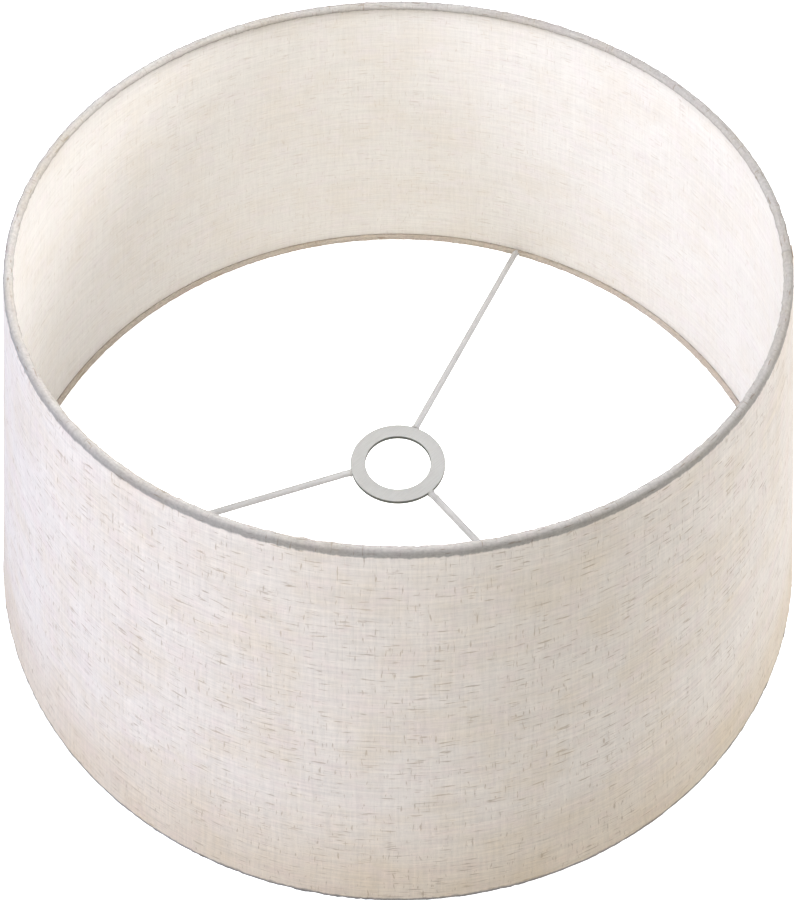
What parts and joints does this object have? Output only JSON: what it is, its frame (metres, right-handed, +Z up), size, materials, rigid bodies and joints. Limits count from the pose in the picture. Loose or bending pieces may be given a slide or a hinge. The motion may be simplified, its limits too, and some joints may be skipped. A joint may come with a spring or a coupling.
{
  "type": "lamp shade",
  "caption": "Tapered drum lamp shade: linen-look fabric over a stiff liner, rolled onto wire rings, with a recessed ring fitter on bent wire spokes at its wide end.",
  "frame": {"origin": "on the shade's axis, on the plane that the bottom hem stands on", "axes": "+Z up along the shade's axis, from the wide end with the fitter to the narrow end; -Y is the side that faces the viewer, and +X is to the viewer's right"},
  "size_m": [0.5, 0.5, 0.242],
  "materials": {
    "linen_fabric": "off-white linen-look plain weave with tan slubs",
    "liner_film": "translucent film, bonded to the back of the fabric",
    "tape": "double-sided adhesive film",
    "frame_wire": "light grey paint, satin",
    "fitter_paint": "light grey paint with a fine brushed grain, satin",
    "weld_metal": "painted weld"
  },
  "bodies": {
    "root": {"fabric_cover": "linen_fabric", "liner_sheet": "liner_film", "seam_tape": "tape", "top_ring": "frame_wire", "bottom_ring": "frame_wire", "fitter_ring": "fitter_paint", "spoke_1": "frame_wire", "spoke_2": "frame_wire", "spoke_3": "frame_wire", "fitter_weld_1": "weld_metal", "fitter_weld_2": "weld_metal", "fitter_weld_3": "weld_metal", "ring_weld_1": "weld_metal", "ring_weld_2": "weld_metal", "ring_weld_3": "weld_metal"}
  },
  "joints": []
}
